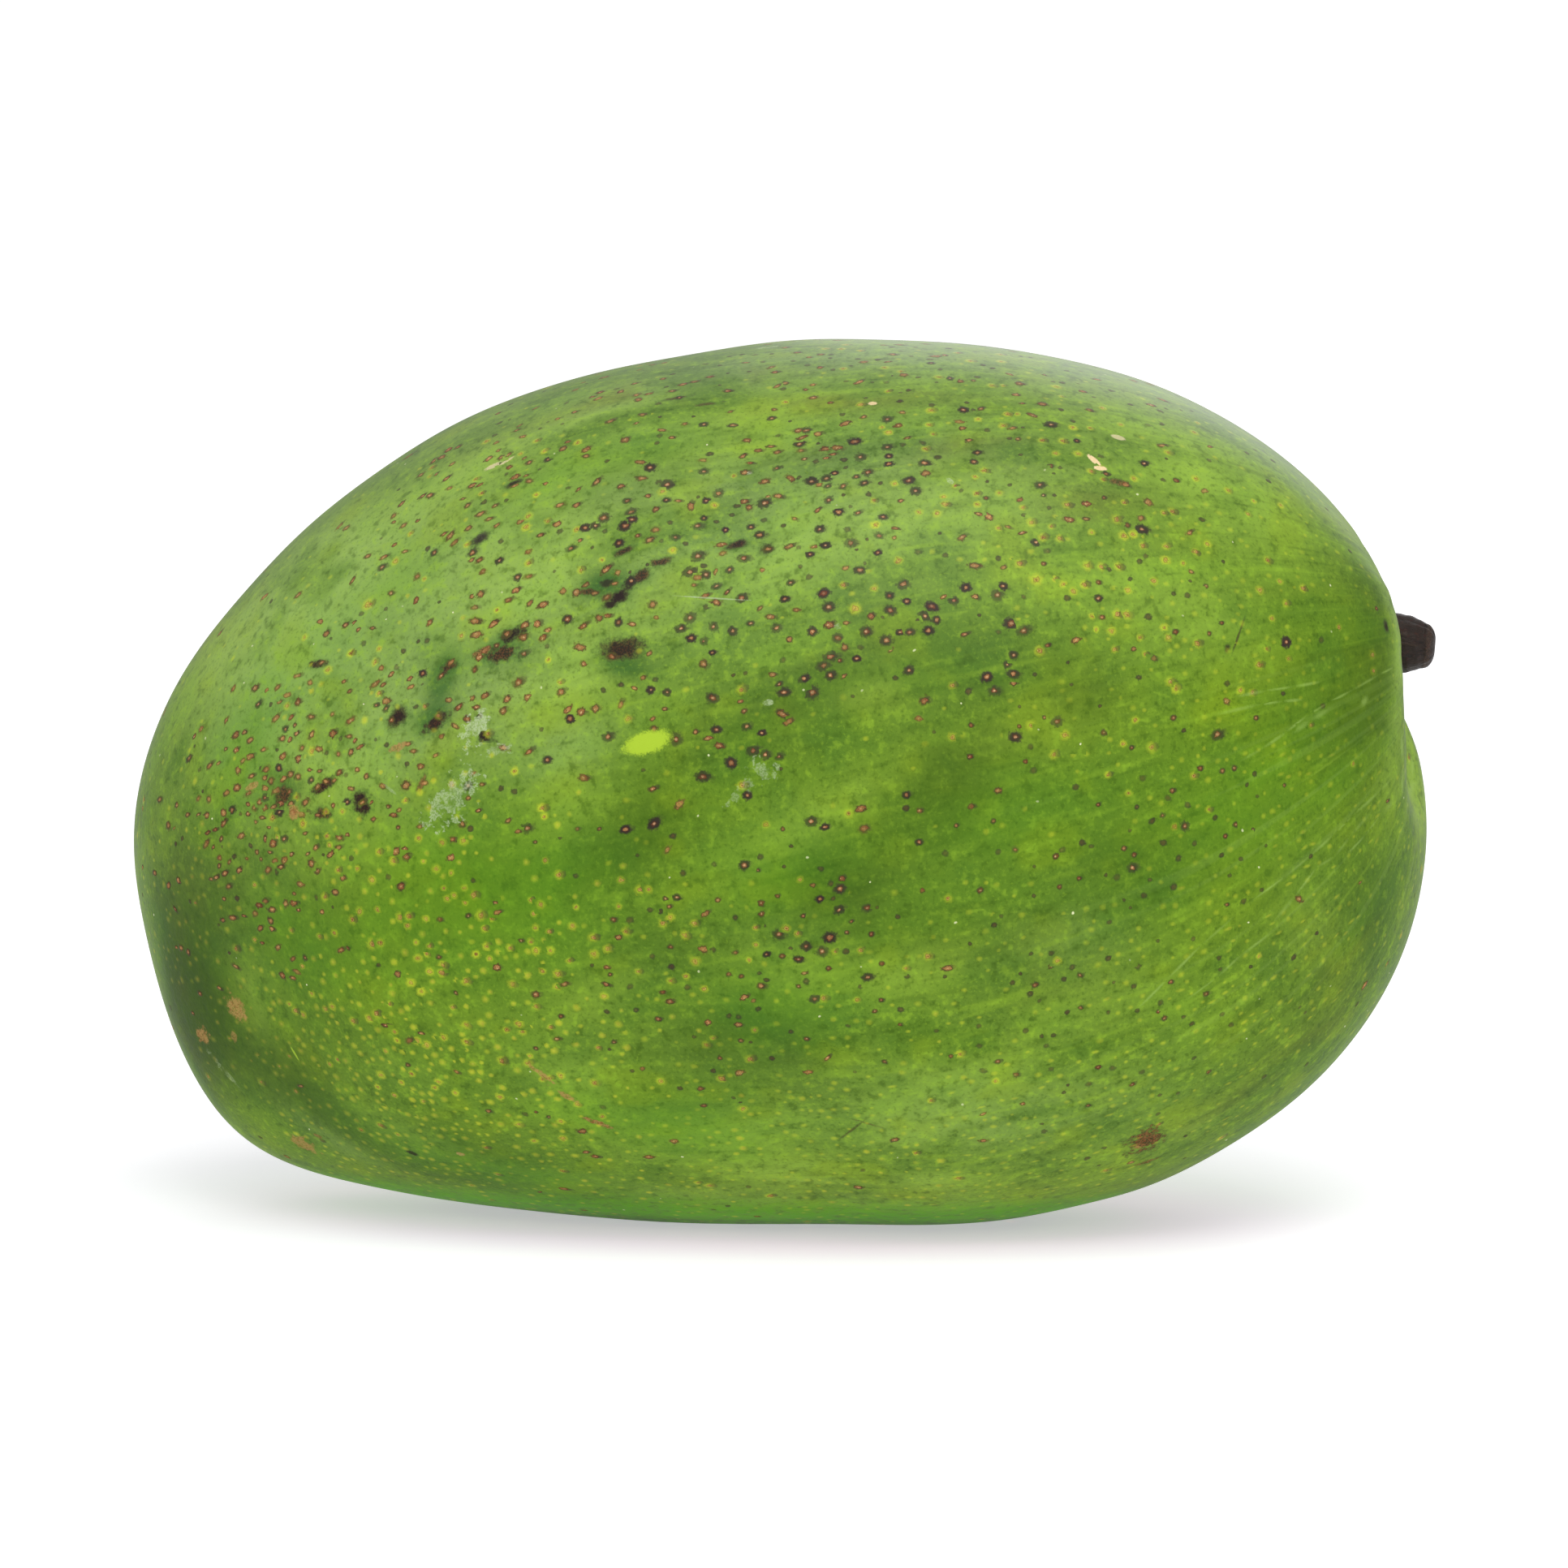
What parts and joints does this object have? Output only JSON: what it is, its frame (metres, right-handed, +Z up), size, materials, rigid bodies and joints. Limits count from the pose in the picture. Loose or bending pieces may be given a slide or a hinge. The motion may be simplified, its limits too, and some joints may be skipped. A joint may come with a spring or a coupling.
{
  "type": "mango",
  "caption": "Whole unripe green mango with a short dark stalk stub, lying on its belly on a small flat spot, freckled all over.",
  "frame": {"origin": "middle of the length and depth of the whole, on the surface that the belly rests on", "axes": "+X along the fruit towards the stalk end, +Y across the cheeks to the far cheek, +Z up from the belly to the back"},
  "size_m": [0.1332, 0.0822, 0.0894],
  "materials": {
    "mango_skin": "waxy satin green skin with dark and yellow freckles",
    "stalk_bark": "dry, nearly black bark"
  },
  "bodies": {
    "root": {"mango_fruit": "mango_skin", "stalk_stub": "stalk_bark"}
  },
  "joints": []
}
